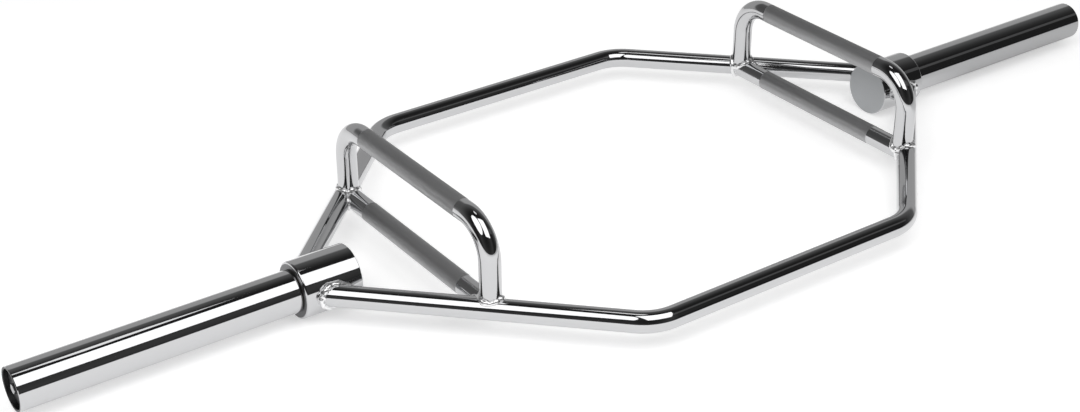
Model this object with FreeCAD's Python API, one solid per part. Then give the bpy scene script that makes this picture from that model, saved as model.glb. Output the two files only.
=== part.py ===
import FreeCAD, Part
import math
import os

# Hex trap bar. X runs along the sleeves, Y from front to back, Z up from the floor. Millimetres.

# Overall layout
overall_length = 1580.0
frame_bar_diameter = 25.4
frame_side_offset = 285.0
frame_corner_x = 186.0
frame_bend_radius = 56.0
diagonal_angle = 45.0

# Collars
collar_diameter = 67.0
collar_length = 70.0
collar_inner_x = 398.0
collar_inner_chamfer = 0.8
collar_rim_chamfer = 1.8
collar_closed_end = 15.0

# Grip bars
handle_diameter = 25.0
handle_x = 309.0
raised_leg_y = 153.5
raised_handle_height = 97.0
raised_bend_radius = 42.0
leg_foot_height = 5.0

# Revolving sleeves
sleeve_diameter = 50.0
sleeve_wall = 3.0
sleeve_edge_chamfer = 0.6
spindle_diameter = 30.0
bush_length = 40.0
bush_running_clearance = 0.05
collar_to_bush_gap = 0.3
collar_to_sleeve_gap = 0.8
bush_to_disc_gap = 0.3

# Sleeve end retainer
disc_recess = 5.5
disc_thickness = 4.0
disc_radial_gap = 1.0
bolt_diameter = 6.0
bolt_hole_clearance = 0.3
bolt_head_across_flats = 10.0
bolt_head_height = 4.0
bolt_shank_length = 24.0
bolt_hole_extra_depth = 4.0

# Weld beads
collar_weld = 3.0
raised_weld = 2.6
low_weld = 2.4

# Derived sizes
axis_height = collar_diameter / 2.0
frame_bar_radius = frame_bar_diameter / 2.0
handle_radius = handle_diameter / 2.0
collar_radius = collar_diameter / 2.0
collar_outer_x = collar_inner_x + collar_length
sleeve_radius = sleeve_diameter / 2.0
sleeve_bore_radius = sleeve_radius - sleeve_wall
sleeve_start_x = collar_outer_x + collar_to_sleeve_gap
sleeve_end_x = overall_length / 2.0
spindle_radius = spindle_diameter / 2.0
spindle_start_x = collar_inner_x + collar_closed_end
disc_outer_x = sleeve_end_x - disc_recess
disc_inner_x = disc_outer_x - disc_thickness
bush_bore_radius = spindle_radius + bush_running_clearance
inner_bush_x = collar_outer_x + collar_to_bush_gap
outer_bush_end_x = disc_inner_x - bush_to_disc_gap
slope = math.tan(math.radians(diagonal_angle))
frame_apex_x = frame_corner_x + frame_side_offset / slope
low_handle_y = (frame_apex_x - handle_x) * slope
handle_overhang = max(handle_radius - frame_bar_radius, 0.0)
raised_bar_z = axis_height + raised_handle_height
past_collar = 2.0 * collar_length

ALONG_X = FreeCAD.Vector(1, 0, 0)
ALONG_Z = FreeCAD.Vector(0, 0, 1)
HEXAGON = 6
SIDES = {"left": -1.0, "right": 1.0}
ENDS = {"front": -1.0, "rear": 1.0}


def point(x, y, z):
    return FreeCAD.Vector(x, y, z)


def rod(radius, start, end):
    span = end - start
    return Part.makeCylinder(radius, span.Length, start, span)


def bent_path(corners, radius):
    """A path of straight runs along the corners, with a tangent arc at each inner one."""
    edges = []
    begin = corners[0]
    for before, corner, after in zip(corners, corners[1:], corners[2:]):
        towards = (before - corner).normalize()
        away = (after - corner).normalize()
        half = towards.getAngle(away) / 2.0
        setback = radius / math.tan(half)
        arc_start = corner + towards * setback
        arc_end = corner + away * setback
        bisector = (towards + away).normalize()
        arc_middle = corner + bisector * (radius / math.sin(half) - radius)
        edges.append(Part.LineSegment(begin, arc_start).toShape())
        edges.append(Part.Arc(arc_start, arc_middle, arc_end).toShape())
        begin = arc_end
    edges.append(Part.LineSegment(begin, corners[-1]).toShape())
    return Part.Wire(edges)


def bent_rod(radius, corners, bend_radius):
    """Sweep a round bar along straight runs that are joined by bends."""
    profile = Part.Wire(Part.makeCircle(radius, corners[0], corners[1] - corners[0]))
    return bent_path(corners, bend_radius).makePipeShell([profile], True, False)


def turned(outline, side):
    """Revolve a closed outline of (x, radius) corners about the sleeve axis of one side."""
    corners = [point(side * x, 0, axis_height + r) for x, r in outline]
    face = Part.Face(Part.makePolygon(corners + corners[:1]))
    return face.revolve(point(0, 0, axis_height), ALONG_X, 360)


def largest(shape):
    """The main solid of a shape that a cut may have split."""
    return max(shape.Solids, key=lambda solid: solid.Volume)


def collar_axis_rod(side, radius):
    """A rod on the sleeve axis that runs well past both ends of a collar."""
    middle = point(side * frame_apex_x, 0, axis_height)
    return rod(radius, middle - ALONG_X * past_collar, middle + ALONG_X * past_collar)


def diagonal(side, end, radius):
    """A straight stretch of a diagonal frame bar's line, at any radius, from corner to axis."""
    corner = point(side * frame_corner_x, end * frame_side_offset, axis_height)
    return rod(radius, corner, point(side * frame_apex_x, 0, axis_height))


def collar_bead(side, end):
    """Weld where a diagonal frame bar meets the round wall of its collar."""
    around_collar = collar_axis_rod(side, collar_radius + collar_weld)
    bead = diagonal(side, end, frame_bar_radius + collar_weld).common(around_collar)
    bead = bead.cut(diagonal(side, end, frame_bar_radius))
    return largest(bead.cut(collar_axis_rod(side, collar_radius)))


def low_grip(side, end, radius, past=0.0):
    """One half of a low grip bar's line, at any radius, from the middle to or past the diagonal's axis."""
    middle = point(side * handle_x, 0, axis_height)
    return rod(radius, middle, point(side * handle_x, end * (low_handle_y + past), axis_height))


def leg(side, end, radius, below):
    """The lower stretch of a raised leg's line, at any radius, that starts below the leg's foot."""
    foot = point(side * handle_x, end * raised_leg_y, axis_height + leg_foot_height)
    return rod(radius, foot - ALONG_Z * below, foot + ALONG_Z * handle_diameter)


def leg_bead(side, end):
    """Weld where a raised leg meets the top of the diagonal bar and of the low grip bar."""
    around_bars = low_grip(side, end, handle_radius + raised_weld)
    around_bars = around_bars.fuse(diagonal(side, end, frame_bar_radius + raised_weld))
    bead = leg(side, end, handle_radius + raised_weld, raised_weld).common(around_bars)
    bead = bead.cut(leg(side, end, handle_radius, raised_weld))
    bead = bead.cut(low_grip(side, end, handle_radius))
    return largest(bead.cut(diagonal(side, end, frame_bar_radius)))


def low_bead(side, end, leg_weld):
    """Weld where the end of a low grip bar meets the side of the diagonal bar."""
    around_bar = diagonal(side, end, frame_bar_radius + low_weld)
    bead = low_grip(side, end, handle_radius + low_weld, handle_overhang).common(around_bar)
    bead = bead.cut(low_grip(side, end, handle_radius))
    bead = bead.cut(diagonal(side, end, frame_bar_radius))
    bead = bead.cut(leg(side, end, handle_radius, 0))
    return largest(bead.cut(leg_weld))


def frame_bar(end):
    """One bent frame bar, coped at both ends to sit on the collars."""
    corners = [
        point(-frame_apex_x, 0, axis_height),
        point(-frame_corner_x, end * frame_side_offset, axis_height),
        point(frame_corner_x, end * frame_side_offset, axis_height),
        point(frame_apex_x, 0, axis_height),
    ]
    bar = bent_rod(frame_bar_radius, corners, frame_bend_radius)
    for side in SIDES.values():
        bar = bar.cut(collar_axis_rod(side, collar_radius))
    return largest(bar)


def collar(side):
    """A turned steel collar with a closed inner face and a blind bore for the spindle."""
    outline = [
        (collar_inner_x, 0),
        (collar_inner_x, collar_radius - collar_inner_chamfer),
        (collar_inner_x + collar_inner_chamfer, collar_radius),
        (collar_outer_x - collar_rim_chamfer, collar_radius),
        (collar_outer_x, collar_radius - collar_rim_chamfer),
        (collar_outer_x, spindle_radius),
        (spindle_start_x, spindle_radius),
        (spindle_start_x, 0),
    ]
    return turned(outline, side)


def spindle(side):
    """The fixed shaft inside a sleeve, tapped at its end for the retaining bolt."""
    hole = bolt_diameter / 2.0
    hole_depth = bolt_shank_length - disc_thickness + bolt_hole_extra_depth
    outline = [
        (spindle_start_x, 0),
        (spindle_start_x, spindle_radius),
        (disc_inner_x, spindle_radius),
        (disc_inner_x, hole),
        (disc_inner_x - hole_depth, hole),
        (disc_inner_x - hole_depth, 0),
    ]
    return turned(outline, side)


def sleeve(side):
    """The turning tube that carries the weight plates."""
    c = sleeve_edge_chamfer
    outline = [
        (sleeve_start_x, sleeve_bore_radius),
        (sleeve_start_x, sleeve_radius - c),
        (sleeve_start_x + c, sleeve_radius),
        (sleeve_end_x - c, sleeve_radius),
        (sleeve_end_x, sleeve_radius - c),
        (sleeve_end_x, sleeve_bore_radius + c),
        (sleeve_end_x - c, sleeve_bore_radius),
    ]
    return turned(outline, side)


def bush(side, start_x):
    end_x = start_x + bush_length
    outline = [
        (start_x, bush_bore_radius),
        (start_x, sleeve_bore_radius),
        (end_x, sleeve_bore_radius),
        (end_x, bush_bore_radius),
    ]
    return turned(outline, side)


def disc(side):
    """The recessed disc that keeps a sleeve on its spindle."""
    hole = bolt_diameter / 2.0 + bolt_hole_clearance
    rim = sleeve_bore_radius - disc_radial_gap
    outline = [
        (disc_inner_x, hole),
        (disc_inner_x, rim),
        (disc_outer_x, rim),
        (disc_outer_x, hole),
    ]
    return turned(outline, side)


def end_bolt(side):
    """Hexagon-head bolt through the disc into the spindle, its head chamfered at the top."""
    outward = ALONG_X * side
    seat = point(side * disc_outer_x, 0, axis_height)
    crown = bolt_head_across_flats / 2.0
    corner_radius = crown / math.cos(math.pi / HEXAGON)
    corners = []
    for k in range(HEXAGON):
        angle = 2.0 * math.pi * k / HEXAGON
        corners.append(seat + point(0, math.cos(angle), math.sin(angle)) * corner_radius)
    head = Part.Face(Part.makePolygon(corners + corners[:1])).extrude(outward * bolt_head_height)
    cone_base = seat - outward * (corner_radius - crown)
    cone_height = bolt_head_height + corner_radius - crown
    head = head.common(Part.makeCone(crown + cone_height, crown, cone_height, cone_base, outward))
    shank = rod(bolt_diameter / 2.0, seat, seat - outward * bolt_shank_length)
    return head.fuse(shank).removeSplitter()


def low_handle(side, frame_bars):
    """The straight grip bar at frame height, coped between the two diagonals."""
    front = point(side * handle_x, -low_handle_y, axis_height)
    rear = point(side * handle_x, low_handle_y, axis_height)
    bar = rod(handle_radius, front, rear)
    for frame in frame_bars:
        bar = bar.cut(frame)
    return largest(bar)


def raised_handle(side, standing_on):
    """The bent grip bar whose legs stand on the diagonals and the low grip bar."""
    foot = axis_height + leg_foot_height
    corners = [
        point(side * handle_x, -raised_leg_y, foot),
        point(side * handle_x, -raised_leg_y, raised_bar_z),
        point(side * handle_x, raised_leg_y, raised_bar_z),
        point(side * handle_x, raised_leg_y, foot),
    ]
    bar = bent_rod(handle_radius, corners, raised_bend_radius)
    for piece in standing_on:
        bar = bar.cut(piece)
    return largest(bar)


nodes = {}
frame_bars = {name: frame_bar(end) for name, end in ENDS.items()}
for name, bar in frame_bars.items():
    nodes[name + "_frame_bar"] = bar
bolts = []
for name, side in SIDES.items():
    hub = collar(side)
    low = low_handle(side, frame_bars.values())
    raised = raised_handle(side, list(frame_bars.values()) + [low])
    nodes[name + "_collar"] = hub
    nodes[name + "_spindle"] = spindle(side)
    nodes[name + "_sleeve"] = sleeve(side)
    nodes[name + "_inner_bush"] = bush(side, inner_bush_x)
    nodes[name + "_outer_bush"] = bush(side, outer_bush_end_x - bush_length)
    nodes[name + "_retaining_disc"] = disc(side)
    nodes[name + "_low_handle"] = low
    nodes[name + "_raised_handle"] = raised
    bolts.append(end_bolt(side))
    collar_beads = []
    low_beads = []
    raised_beads = []
    for end in ENDS.values():
        leg_weld = leg_bead(side, end)
        collar_beads.append(collar_bead(side, end))
        raised_beads.append(leg_weld)
        low_beads.append(low_bead(side, end, leg_weld))
    nodes[name + "_collar_welds"] = Part.makeCompound(collar_beads)
    nodes[name + "_raised_handle_welds"] = Part.makeCompound(raised_beads)
    nodes[name + "_low_handle_welds"] = Part.makeCompound(low_beads)
nodes["end_bolts"] = Part.makeCompound(bolts)

os.makedirs("parts", exist_ok=True)
for name, shape in nodes.items():
    shape.exportStep("parts/" + name + ".step")
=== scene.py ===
import bmesh
import bpy
import math
import random
from mathutils import Matrix, Quaternion, Vector, noise


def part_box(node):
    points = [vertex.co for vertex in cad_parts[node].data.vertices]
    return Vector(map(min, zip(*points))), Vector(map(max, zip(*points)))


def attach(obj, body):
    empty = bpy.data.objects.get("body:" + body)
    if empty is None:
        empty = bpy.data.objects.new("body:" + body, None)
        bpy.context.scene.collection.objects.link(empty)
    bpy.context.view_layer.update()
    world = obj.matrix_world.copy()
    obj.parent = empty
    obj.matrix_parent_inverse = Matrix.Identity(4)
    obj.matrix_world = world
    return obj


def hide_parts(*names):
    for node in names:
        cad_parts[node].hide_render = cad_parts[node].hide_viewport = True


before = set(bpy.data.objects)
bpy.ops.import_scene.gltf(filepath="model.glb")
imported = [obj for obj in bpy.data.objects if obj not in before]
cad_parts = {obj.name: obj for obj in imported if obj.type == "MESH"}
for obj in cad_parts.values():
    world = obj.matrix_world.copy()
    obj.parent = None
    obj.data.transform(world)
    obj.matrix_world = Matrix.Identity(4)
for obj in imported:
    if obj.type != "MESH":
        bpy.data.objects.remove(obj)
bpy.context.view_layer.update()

# Sizes read from the frame, in metres
collar_low, collar_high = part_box("right_collar")
sleeve_low, sleeve_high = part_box("right_sleeve")
bar_low, bar_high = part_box("rear_frame_bar")
raised_low, raised_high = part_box("right_raised_handle")
AXIS_Z = (collar_low.z + collar_high.z) / 2
COLLAR_R = (collar_high.z - collar_low.z) / 2
COLLAR_INNER_X = collar_low.x
COLLAR_OUTER_X = collar_high.x
SLEEVE_R = (sleeve_high.z - sleeve_low.z) / 2
SLEEVE_START_X = sleeve_low.x
SLEEVE_END_X = sleeve_high.x
BAR_R = (bar_high.z - bar_low.z) / 2
SIDE_Y = bar_high.y - BAR_R
HANDLE_R = (raised_high.x - raised_low.x) / 2
HANDLE_X = (raised_low.x + raised_high.x) / 2
RAISED_Z = raised_high.z - HANDLE_R
LEG_Y = raised_high.y - HANDLE_R

# Corners and bends of the bars, in metres, as in the solids
CORNER_X = 0.186
APEX_X = CORNER_X + SIDE_Y
BAR_BEND = 0.056
RAISED_BEND = 0.042
FOOT_RISE = 0.005

# Turned edges, in metres
SLEEVE_WALL = 0.003
SLEEVE_CHAMFER = 0.0006
COLLAR_CHAMFER = 0.0008
COLLAR_RIM = 0.0025
SPINDLE_R = 0.015
SPINDLE_DEPTH = 0.055

# How far a frame bar's axis runs past the collar's wall, as a share of the bar's radius
BAR_SINK = 1.1

# Knurl: where it starts and ends along the grips, and its diamonds
KNURL_FRONT_Y = -0.1016
KNURL_REAR_Y = 0.1016
KNURL_DEPTH = 0.0002
KNURL_COLUMNS = 96
KNURL_STEP = 0.0012

# Mesh fineness, and the turn in radians from which an edge stays crisp
AROUND = 96
TURNED_AROUND = 192
ARC_STEPS = 32
RIM_STEPS = 10
SHARP_TURN = 0.4

# Weld beads: radii, and how far the collar beads sit out along their bars, in metres
COLLAR_BEAD = 0.0038
COLLAR_BEAD_SHIFT = 0.0048
LEG_BEAD = 0.0037
LOW_BEAD = 0.003
SEAM_STEPS = 200
BEAD_AROUND = 24
BEAD_SEED = 7

# Puddles of a bead: their length in seam steps, their size, and how they swell in the middle
PUDDLE_SHORT = 14
PUDDLE_LONG = 30
PUDDLE_SMALL = 0.8
PUDDLE_LARGE = 1.15
PUDDLE_EDGE = 0.86
PUDDLE_SWELL = 0.2

# Lumps of a bead: grains per metre, their height as a share of the radius, and the seam's wander
BEAD_GRAIN = 220.0
ROUGH_BEAD = 0.4
EVEN_BEAD = 0.15
WANDER_GRAIN = BEAD_GRAIN / 2
BEAD_WANDER = 0.001

SIDES = {"left": -1.0, "right": 1.0}
ENDS = {"front": -1.0, "rear": 1.0}


# Materials
def material(name, colour, roughness, metallic=1.0):
    mat = bpy.data.materials.new(name)
    mat.use_nodes = True
    shader = mat.node_tree.nodes["Principled BSDF"]
    shader.inputs["Base Color"].default_value = (*colour, 1.0)
    shader.inputs["Metallic"].default_value = metallic
    shader.inputs["Roughness"].default_value = roughness
    return mat


CHROME = material("chrome", (0.56, 0.562, 0.57), roughness=0.05)
WELD = material("weld", (0.86, 0.86, 0.865), roughness=0.3)
KNURL = material("knurled_steel", (0.40, 0.40, 0.405), roughness=0.42)
SATIN = material("satin_steel", (0.40, 0.41, 0.42), roughness=0.42)
# Steel for the face that stops the plates, painted darker for the shade beside the sleeve
STOP_FACE_SHADE = material("stop_face_painted_shade", (0.17, 0.17, 0.175), roughness=0.4)
PLAIN = material("plain_steel", (0.55, 0.55, 0.56), roughness=0.3)
# Bronze of the bush, painted darker for the shade in the thin gap where it shows
BRONZE_PAINTED_SHADE = material("bronze", (0.34, 0.24, 0.12), roughness=0.35)
DARK = material("dark_disc", (0.02, 0.02, 0.022), roughness=0.45, metallic=0.0)
# Steel of the sleeve's cut end and bore, painted near black for the shade at and inside the tube's
# mouth
BORE_PAINTED_SHADE = material("bore_painted_shade", (0.08, 0.08, 0.082), roughness=0.4)
BOLT = material("bolt_steel", (0.42, 0.42, 0.43), roughness=0.35)
NODE_FINISHES = {
    "collar": CHROME,
    "sleeve": CHROME,
    "low_handle": CHROME,
    "raised_handle": CHROME,
    "spindle": PLAIN,
    "bush": BRONZE_PAINTED_SHADE,
    "disc": DARK,
    "bolts": BOLT,
    "frame_bar": CHROME,
    "welds": WELD,
}


def finish_nodes():
    """Give every CAD node its finish."""
    for name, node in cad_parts.items():
        ending = next(key for key in NODE_FINISHES if name.endswith(key))
        node.data.materials.clear()
        node.data.materials.append(NODE_FINISHES[ending])


# Mesh builders
def add_piece(name, vertices, faces, finish, flat_faces=(), body="frame"):
    """A mesh piece that rides on one of the bodies."""
    mesh = bpy.data.meshes.new(name)
    mesh.from_pydata(vertices, [], faces)
    shape = bmesh.new()
    shape.from_mesh(mesh)
    bmesh.ops.recalc_face_normals(shape, faces=shape.faces)
    shape.to_mesh(mesh)
    shape.free()
    mesh.polygons.foreach_set("use_smooth", [i not in flat_faces for i in range(len(faces))])
    crisp = {key for i in flat_faces for key in mesh.polygons[i].edge_keys}
    for edge in mesh.edges:
        edge.use_edge_sharp = edge.key in crisp
    mesh.materials.append(finish)
    piece = bpy.data.objects.new(name, mesh)
    bpy.context.scene.collection.objects.link(piece)
    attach(piece, body)
    return piece


def rounded_path(corners, bend):
    """Points of straight runs that are joined by tangent arcs."""
    points = [corners[0]]
    for before, corner, after in zip(corners, corners[1:], corners[2:]):
        towards = (before - corner).normalized()
        away = (after - corner).normalized()
        half = towards.angle(away) / 2
        middle = (towards + away).normalized()
        centre = corner + middle * (bend / math.sin(half))
        start = corner + towards * (bend / math.tan(half)) - centre
        axis = start.cross(-towards).normalized()
        sweep = math.pi - 2 * half
        for k in range(ARC_STEPS + 1):
            points.append(centre + Matrix.Rotation(sweep * k / ARC_STEPS, 3, axis) @ start)
    points.append(corners[-1])
    return points


def ring_frames(points, closed):
    """For every point of a path, two directions across it that turn with the path and don't twist."""
    count = len(points)
    frames = []
    side = None
    for k in range(count):
        ahead = points[(k + 1) % count] if closed or k + 1 < count else points[k]
        behind = points[k - 1] if closed or k > 0 else points[k]
        along = (ahead - behind).normalized()
        if side is None:
            side = along.orthogonal().normalized()
        side = (side - along * side.dot(along)).normalized()
        frames.append((side, along.cross(side)))
    return frames


def ring(centre, across, up, radius, around):
    """Points of a circle about a centre."""
    turns = [2 * math.pi * j / around for j in range(around)]
    return [centre + (across * math.cos(a) + up * math.sin(a)) * radius for a in turns]


def band_faces(rings, around, closed=False):
    """Quads between neighbouring rings of vertices."""
    faces = []
    last = rings if closed else rings - 1
    for k in range(last):
        row = k * around
        after = ((k + 1) % rings) * around
        for j in range(around):
            right = (j + 1) % around
            faces.append((row + j, row + right, after + right, after + j))
    return faces


def tube(name, points, radius, replaced):
    """A round bar swept along a path, with flat ends."""
    vertices = []
    for point, (across, up) in zip(points, ring_frames(points, False)):
        vertices += ring(point, across, up, radius, AROUND)
    faces = band_faces(len(points), AROUND)
    faces.append(tuple(reversed(range(AROUND))))
    faces.append(tuple(range(len(vertices) - AROUND, len(vertices))))
    ends = {len(faces) - 2, len(faces) - 1}
    piece = add_piece(name, vertices, faces, CHROME, ends)
    if replaced:
        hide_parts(replaced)
    return piece


# Sleeves and collars
def sharpen(mesh, outline, closed):
    """Keep the edges crisp at the outline's corners, and smooth along its arcs."""
    count = len(outline)
    sharp = set()
    for k in range(count):
        if not closed and k in (0, count - 1):
            sharp.add(k)
            continue
        before = Vector(outline[k]) - Vector(outline[k - 1])
        after = Vector(outline[(k + 1) % count]) - Vector(outline[k])
        if before.angle(after) > SHARP_TURN:
            sharp.add(k)
    for edge in mesh.edges:
        first, second = (v // TURNED_AROUND for v in edge.vertices)
        if first == second and first in sharp:
            edge.use_edge_sharp = True


def turned_piece(name, outline, side, body, closed):
    """An outline of (x, radius) corners turned about the sleeve axis."""
    vertices = []
    for x, radius in outline:
        centre = Vector((side * x, 0, AXIS_Z))
        vertices += ring(centre, Vector((0, 1, 0)), Vector((0, 0, 1)), radius, TURNED_AROUND)
    faces = band_faces(len(outline), TURNED_AROUND, closed)
    ends = set()
    if not closed:
        ends = {len(faces), len(faces) + 1}
        faces.append(tuple(range(TURNED_AROUND)))
        faces.append(tuple(range(len(vertices) - TURNED_AROUND, len(vertices))))
    piece = add_piece(name + "_shell", vertices, faces, CHROME, ends, body)
    sharpen(piece.data, outline, closed)
    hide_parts(name)
    return piece


def build_sleeve(name, side):
    """The plated sleeve, with a dull cut end and bore in a near-black colour that is painted shade.
    """
    bore = SLEEVE_R - SLEEVE_WALL
    outline = [
        (SLEEVE_START_X, bore),
        (SLEEVE_START_X, SLEEVE_R - SLEEVE_CHAMFER),
        (SLEEVE_START_X + SLEEVE_CHAMFER, SLEEVE_R),
        (SLEEVE_END_X - SLEEVE_CHAMFER, SLEEVE_R),
        (SLEEVE_END_X, SLEEVE_R - SLEEVE_CHAMFER),
        (SLEEVE_END_X, bore + SLEEVE_CHAMFER),
        (SLEEVE_END_X - SLEEVE_CHAMFER, bore),
    ]
    piece = turned_piece(name + "_sleeve", outline, side, name + "_sleeve_unit", True)
    # Painted shade: the cut end, its inner chamfer and the bore get the near-black colour
    piece.data.materials.append(BORE_PAINTED_SHADE)
    first_shaded_corner = 4
    for face in list(piece.data.polygons)[first_shaded_corner * TURNED_AROUND:]:
        face.material_index = 1


def build_collar(name, side):
    """The collar: a rounded rim, a satin inner face, and a face that stops the plates, painted darker
    as shade beside the sleeve.
    """
    outline = [
        (COLLAR_INNER_X, COLLAR_R - COLLAR_CHAMFER),
        (COLLAR_INNER_X + COLLAR_CHAMFER, COLLAR_R),
    ]
    for k in range(RIM_STEPS + 1):
        angle = math.pi / 2 * (1 - k / RIM_STEPS)
        x = COLLAR_OUTER_X - COLLAR_RIM + COLLAR_RIM * math.cos(angle)
        outline.append((x, COLLAR_R - COLLAR_RIM + COLLAR_RIM * math.sin(angle)))
    plate_stop = (len(outline) - 1) * TURNED_AROUND
    outline.append((COLLAR_OUTER_X, SPINDLE_R))
    outline.append((COLLAR_OUTER_X - SPINDLE_DEPTH, SPINDLE_R))
    piece = turned_piece(name + "_collar", outline, side, "frame", False)
    piece.data.materials.append(SATIN)
    piece.data.materials.append(STOP_FACE_SHADE)
    faces = list(piece.data.polygons)
    inner_face = faces[-2]
    inner_face.material_index = 1
    # Painted shade: the face that stops the plates takes the darker colour
    for face in faces[plate_stop:plate_stop + TURNED_AROUND]:
        face.material_index = 2


# Frame bars
def build_frame_bar(name, end):
    """One bent bar, carried into both collars."""
    corners = [
        Vector((-APEX_X, 0, AXIS_Z)),
        Vector((-CORNER_X, end * SIDE_Y, AXIS_Z)),
        Vector((CORNER_X, end * SIDE_Y, AXIS_Z)),
        Vector((APEX_X, 0, AXIS_Z)),
    ]
    inset = COLLAR_R * math.sqrt(2) - BAR_SINK * BAR_R
    corners[0] += (corners[1] - corners[0]).normalized() * inset
    corners[3] += (corners[2] - corners[3]).normalized() * inset
    tube(name + "_bar", rounded_path(corners, BAR_BEND), BAR_R, name + "_frame_bar")


# Grips
def build_raised_handle(name, side):
    """The bent grip bar: a chrome half at each end of the knurl."""
    x = side * HANDLE_X
    foot = AXIS_Z + FOOT_RISE
    for end_name, end in ENDS.items():
        stop = KNURL_FRONT_Y if end < 0 else KNURL_REAR_Y
        corners = [
            Vector((x, end * LEG_Y, foot)),
            Vector((x, end * LEG_Y, RAISED_Z)),
            Vector((x, stop, RAISED_Z)),
        ]
        replaced = name + "_raised_handle" if end < 0 else None
        title = name + "_raised_" + end_name + "_leg"
        tube(title, rounded_path(corners, RAISED_BEND), HANDLE_R, replaced)


def build_low_handle(name, side):
    """The straight grip bar: a chrome stub at each end of the knurl."""
    x = side * HANDLE_X
    reach = APEX_X - HANDLE_X
    for end_name, end in ENDS.items():
        stop = KNURL_FRONT_Y if end < 0 else KNURL_REAR_Y
        points = [Vector((x, end * reach, AXIS_Z)), Vector((x, stop, AXIS_Z))]
        replaced = name + "_low_handle" if end < 0 else None
        tube(name + "_low_" + end_name + "_stub", points, HANDLE_R, replaced)


def build_knurl(name, x, z):
    """Diamond knurl: raised points and grooves that cross, closed at both ends."""
    rows = 2 * round((KNURL_REAR_Y - KNURL_FRONT_Y) / KNURL_STEP / 2) + 1
    step = (KNURL_REAR_Y - KNURL_FRONT_Y) / (rows - 1)
    vertices = []
    for k in range(rows):
        y = KNURL_FRONT_Y + step * k
        at_end = k in (0, rows - 1)
        for j in range(KNURL_COLUMNS):
            angle = 2 * math.pi * j / KNURL_COLUMNS
            low = at_end or (j + k) % 2
            radius = HANDLE_R - (KNURL_DEPTH if low else 0.0)
            vertices.append((x + radius * math.cos(angle), y, z + radius * math.sin(angle)))
    faces = []
    for k in range(rows - 1):
        for j in range(KNURL_COLUMNS):
            right = (j + 1) % KNURL_COLUMNS
            a = k * KNURL_COLUMNS + j
            b = k * KNURL_COLUMNS + right
            c = (k + 1) * KNURL_COLUMNS + right
            d = (k + 1) * KNURL_COLUMNS + j
            grooves = ((b, a, d), (b, d, c)) if (j + k) % 2 == 0 else ((a, d, c), (a, c, b))
            faces += grooves
    flat = set(range(len(faces) + 2))
    faces.append(tuple(range(KNURL_COLUMNS)))
    faces.append(tuple(reversed(range((rows - 1) * KNURL_COLUMNS, rows * KNURL_COLUMNS))))
    add_piece(name, vertices, faces, KNURL, flat)


# Weld beads
def turns():
    """The angles at which a seam is followed around a bar."""
    return [2 * math.pi * k / SEAM_STEPS for k in range(SEAM_STEPS)]


def rise(radius, offset):
    """Height of a lying bar's surface above its axis, sideways from the axis."""
    return math.sqrt(max(radius * radius - offset * offset, 0.0))


def collar_seam(side, end):
    """Just outside the line where a diagonal bar meets the collar's round wall."""
    along = Vector((-side, end, 0)).normalized()
    across = Vector((-along.y, along.x, 0))
    apex = Vector((side * APEX_X, 0, AXIS_Z))
    seam = []
    for angle in turns():
        sideways = across * (BAR_R * math.cos(angle))
        lift = BAR_R * math.sin(angle)
        reach = (end * rise(COLLAR_R, lift) - sideways.y) / along.y
        seam.append(apex + along * (reach + COLLAR_BEAD_SHIFT) + sideways + Vector((0, 0, lift)))
    return seam


def leg_seam(side, end):
    """Where a raised leg meets the diagonal bar and the low grip bar."""
    seam = []
    for angle in turns():
        dx = HANDLE_R * math.cos(angle)
        dy = HANDLE_R * math.sin(angle)
        beside = (APEX_X - HANDLE_X - dx - LEG_Y - dy) / math.sqrt(2)
        heights = [FOOT_RISE, rise(BAR_R, beside)]
        if beside > 0:
            heights.append(rise(HANDLE_R, dx))
        seam.append(Vector((side * (HANDLE_X + dx), end * (LEG_Y + dy), AXIS_Z + max(heights))))
    return seam


def low_seam(side, end):
    """Where the end of a low grip bar meets the diagonal bar."""
    seam = []
    for angle in turns():
        dx = HANDLE_R * math.cos(angle)
        dz = HANDLE_R * math.sin(angle)
        y = APEX_X - HANDLE_X - dx - rise(BAR_R, dz) * math.sqrt(2)
        seam.append(Vector((side * (HANDLE_X + dx), end * y, AXIS_Z + dz)))
    return seam


def build_bead(name, seam, radius, unevenness, draw, replaced):
    """A closed weld bead with the uneven lumps of its puddles."""
    lumps = []
    while len(lumps) < len(seam):
        length = draw.randint(PUDDLE_SHORT, PUDDLE_LONG)
        size = draw.uniform(PUDDLE_SMALL, PUDDLE_LARGE)
        lumps += [(size, step / length) for step in range(length)]
    path = [p + noise.noise_vector(p * WANDER_GRAIN) * BEAD_WANDER for p in seam]
    vertices = []
    for point, (across, up), (size, phase) in zip(path, ring_frames(path, True), lumps):
        swell = size * (PUDDLE_EDGE + PUDDLE_SWELL * math.sin(math.pi * phase))
        for spot in ring(point, across, up, radius, BEAD_AROUND):
            grain = 1 + unevenness * noise.noise(spot * BEAD_GRAIN)
            vertices.append(point + (spot - point) * swell * grain)
    faces = band_faces(len(seam), BEAD_AROUND, True)
    piece = add_piece(name, vertices, faces, WELD)
    if replaced:
        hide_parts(replaced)


def build_beads():
    """Two beads for each of the six weld nodes, at the front and the rear."""
    draw = random.Random(BEAD_SEED)
    # Unseeded, noise_vector would follow the clock
    noise.seed_set(BEAD_SEED)
    kinds = {
        "collar_welds": (collar_seam, COLLAR_BEAD, ROUGH_BEAD),
        "raised_handle_welds": (leg_seam, LEG_BEAD, EVEN_BEAD),
        "low_handle_welds": (low_seam, LOW_BEAD, EVEN_BEAD),
    }
    for name, side in SIDES.items():
        for kind, (seam, radius, unevenness) in kinds.items():
            for end_name, end in ENDS.items():
                title = name + "_" + end_name + "_" + kind
                replaced = name + "_" + kind if end < 0 else None
                build_bead(title, seam(side, end), radius, unevenness, draw, replaced)


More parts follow.
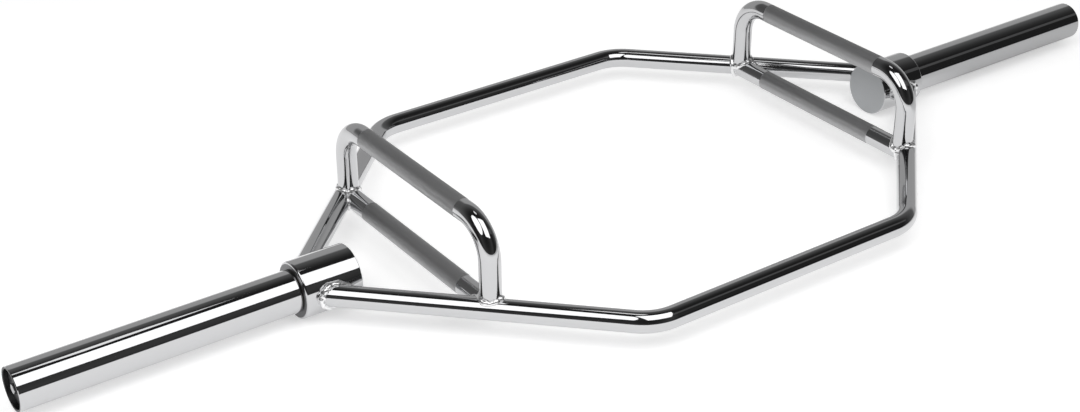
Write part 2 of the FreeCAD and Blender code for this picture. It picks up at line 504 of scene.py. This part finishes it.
# Floor and soft light: their levels, and the x range over which the floor dims in reflections
FLOOR_SIZE = 40
FLOOR_GLOW = 0.4
DIM_FLOOR_GLOW = 0.08
DIM_FLOOR_START_X = 0.45
DIM_FLOOR_END_X = 0.6
FLOOR_COLOUR = (0.82, 0.82, 0.82)
AMBIENT = 0.5

# Studio in the reflections: the way to its pale wall, and its shades from the far side to that wall
PALE_WALL = (0.35, 0.78, -0.52)
STUDIO_SHADES = [
    (0.0, 0.018),
    (0.12, 0.06),
    (0.22, 0.022),
    (0.33, 0.018),
    (0.42, 0.045),
    (0.53, 0.1),
    (0.62, 0.14),
    (0.67, 0.46),
]


def link(tree, source, target):
    tree.links.new(source, target)


def shown_ray(tree):
    """1 for the rays that show a surface directly or in metal and glass, else 0."""
    path = tree.nodes.new("ShaderNodeLightPath")
    first = tree.nodes.new("ShaderNodeMath")
    first.operation = "MAXIMUM"
    second = tree.nodes.new("ShaderNodeMath")
    second.operation = "MAXIMUM"
    link(tree, path.outputs["Is Camera Ray"], first.inputs[0])
    link(tree, path.outputs["Is Glossy Ray"], first.inputs[1])
    link(tree, first.outputs[0], second.inputs[0])
    link(tree, path.outputs["Is Transmission Ray"], second.inputs[1])
    return second.outputs[0]


def floor_glow(tree):
    """The floor's own glow: even to the eye, and in reflections dimmer at the right end."""
    place = tree.nodes.new("ShaderNodeTexCoord")
    parts = tree.nodes.new("ShaderNodeSeparateXYZ")
    link(tree, place.outputs["Object"], parts.inputs[0])
    mirrored = tree.nodes.new("ShaderNodeMapRange")
    mirrored.inputs["From Min"].default_value = DIM_FLOOR_START_X
    mirrored.inputs["From Max"].default_value = DIM_FLOOR_END_X
    mirrored.inputs["To Min"].default_value = FLOOR_GLOW
    mirrored.inputs["To Max"].default_value = DIM_FLOOR_GLOW
    link(tree, parts.outputs["X"], mirrored.inputs["Value"])
    path = tree.nodes.new("ShaderNodeLightPath")
    level = tree.nodes.new("ShaderNodeMix")
    link(tree, path.outputs["Is Camera Ray"], level.inputs["Factor"])
    link(tree, mirrored.outputs["Result"], level.inputs["A"])
    level.inputs["B"].default_value = FLOOR_GLOW
    glow = tree.nodes.new("ShaderNodeMath")
    glow.operation = "MULTIPLY"
    link(tree, shown_ray(tree), glow.inputs[0])
    link(tree, level.outputs["Result"], glow.inputs[1])
    return glow.outputs[0]


def build_floor():
    """A pale plain floor that takes the bar's shadow."""
    bpy.ops.mesh.primitive_plane_add(size=FLOOR_SIZE)
    floor = bpy.context.object
    floor.name = "floor"
    mat = material("floor", FLOOR_COLOUR, roughness=0.9, metallic=0.0)
    shader = mat.node_tree.nodes["Principled BSDF"]
    shader.inputs["Specular IOR Level"].default_value = 0.0
    shader.inputs["Emission Color"].default_value = (1, 1, 1, 1)
    link(mat.node_tree, floor_glow(mat.node_tree), shader.inputs["Emission Strength"])
    floor.data.materials.append(mat)


def build_world():
    """An even dome for soft light, and for reflections a dim studio with a pale wall behind it."""
    world = bpy.data.worlds.new("studio")
    bpy.context.scene.world = world
    world.use_nodes = True
    tree = world.node_tree
    tree.nodes.clear()
    place = tree.nodes.new("ShaderNodeTexCoord")
    facing = tree.nodes.new("ShaderNodeVectorMath")
    facing.operation = "DOT_PRODUCT"
    facing.inputs[1].default_value = PALE_WALL
    link(tree, place.outputs["Generated"], facing.inputs[0])
    span = tree.nodes.new("ShaderNodeMapRange")
    span.inputs["From Min"].default_value = -1.0
    span.inputs["From Max"].default_value = 1.0
    link(tree, facing.outputs["Value"], span.inputs["Value"])
    shades = tree.nodes.new("ShaderNodeValToRGB")
    stops = shades.color_ramp.elements
    while len(stops) < len(STUDIO_SHADES):
        stops.new(1.0)
    for stop, (position, shade) in zip(stops, STUDIO_SHADES):
        stop.position = position
        stop.color = (shade, shade, shade, 1)
    link(tree, span.outputs["Result"], shades.inputs["Fac"])
    studio = tree.nodes.new("ShaderNodeBackground")
    link(tree, shades.outputs["Color"], studio.inputs["Color"])
    dome = tree.nodes.new("ShaderNodeBackground")
    dome.inputs["Color"].default_value = (1, 1, 1, 1)
    dome.inputs["Strength"].default_value = AMBIENT
    mix = tree.nodes.new("ShaderNodeMixShader")
    link(tree, shown_ray(tree), mix.inputs["Fac"])
    link(tree, dome.outputs[0], mix.inputs[1])
    link(tree, studio.outputs[0], mix.inputs[2])
    out = tree.nodes.new("ShaderNodeOutputWorld")
    link(tree, mix.outputs[0], out.inputs["Surface"])


def softbox(name, shape, place, target, size, radiance, roll=0.0):
    """A flat lamp that faces a target, given by how bright its face looks."""
    lamp = bpy.data.lights.new(name, "AREA")
    lamp.shape = shape
    lamp.size, lamp.size_y = size
    area = size[0] * size[1] * (math.pi / 4 if shape == "ELLIPSE" else 1.0)
    lamp.energy = radiance * area * math.pi
    rig = bpy.data.objects.new(name, lamp)
    rig.location = place
    rig.rotation_mode = "QUATERNION"
    facing = (Vector(target) - Vector(place)).to_track_quat("-Z", "Y")
    rig.rotation_quaternion = facing @ Quaternion((0, 0, 1), roll)
    bpy.context.scene.collection.objects.link(rig)


def build_lights():
    """Two large softboxes, and two strips for the fine lines in the chrome."""
    softbox(
        "right_softbox", "RECTANGLE", place=(0.04, -1.0, 1.67), target=(0.04, 0.0, 0.03),
        size=(1.25, 1.5), radiance=1.9, roll=-0.2,
    )
    softbox(
        "left_softbox", "ELLIPSE", place=(-1.44, -0.41, 1.72), target=(-0.75, 0.28, 0.03),
        size=(1.6, 1.75), radiance=1.9,
    )
    softbox(
        "rear_strip", "RECTANGLE", place=(0.45, 0.68, 4.0), target=(-0.7, 0.0, 0.03),
        size=(0.7, 0.6), radiance=1.3,
    )
    softbox(
        "long_strip", "RECTANGLE", place=(2.4, -1.75, 2.2), target=(2.4, -0.2, 0.03),
        size=(3.2, 0.7), radiance=0.08,
    )


# Camera: place in metres, turns in radians, lens and sensor in millimetres
CAMERA_PLACE = (-1.2177, -1.5516, 1.0893)
CAMERA_YAW = 0.6087
CAMERA_PITCH = -0.5101
CAMERA_ROLL = 0.0096
CAMERA_LENS = 60.71
CAMERA_SENSOR = 36.0


def build_camera():
    """The photograph's point of view."""
    ahead = Vector((
        math.sin(CAMERA_YAW) * math.cos(CAMERA_PITCH),
        math.cos(CAMERA_YAW) * math.cos(CAMERA_PITCH),
        math.sin(CAMERA_PITCH),
    ))
    level = Vector((math.cos(CAMERA_YAW), -math.sin(CAMERA_YAW), 0))
    down = ahead.cross(level)
    right = level * math.cos(CAMERA_ROLL) + down * math.sin(CAMERA_ROLL)
    up = level * math.sin(CAMERA_ROLL) - down * math.cos(CAMERA_ROLL)
    view = bpy.data.cameras.new("camera")
    view.lens = CAMERA_LENS
    view.sensor_width = CAMERA_SENSOR
    camera = bpy.data.objects.new("camera", view)
    turn = Matrix((right, up, -ahead)).transposed()
    camera.matrix_world = Matrix.Translation(CAMERA_PLACE) @ turn.to_4x4()
    bpy.context.scene.collection.objects.link(camera)
    bpy.context.scene.camera = camera


# The scene
finish_nodes()
for end_name, end in ENDS.items():
    build_frame_bar(end_name, end)
for side_name, side in SIDES.items():
    build_sleeve(side_name, side)
    build_collar(side_name, side)
    build_raised_handle(side_name, side)
    build_low_handle(side_name, side)
    build_knurl(side_name + "_raised_knurl", side * HANDLE_X, RAISED_Z)
    build_knurl(side_name + "_low_knurl", side * HANDLE_X, AXIS_Z)
build_beads()
build_floor()
build_world()
build_lights()
build_camera()
bpy.context.scene.view_settings.view_transform = "Standard"
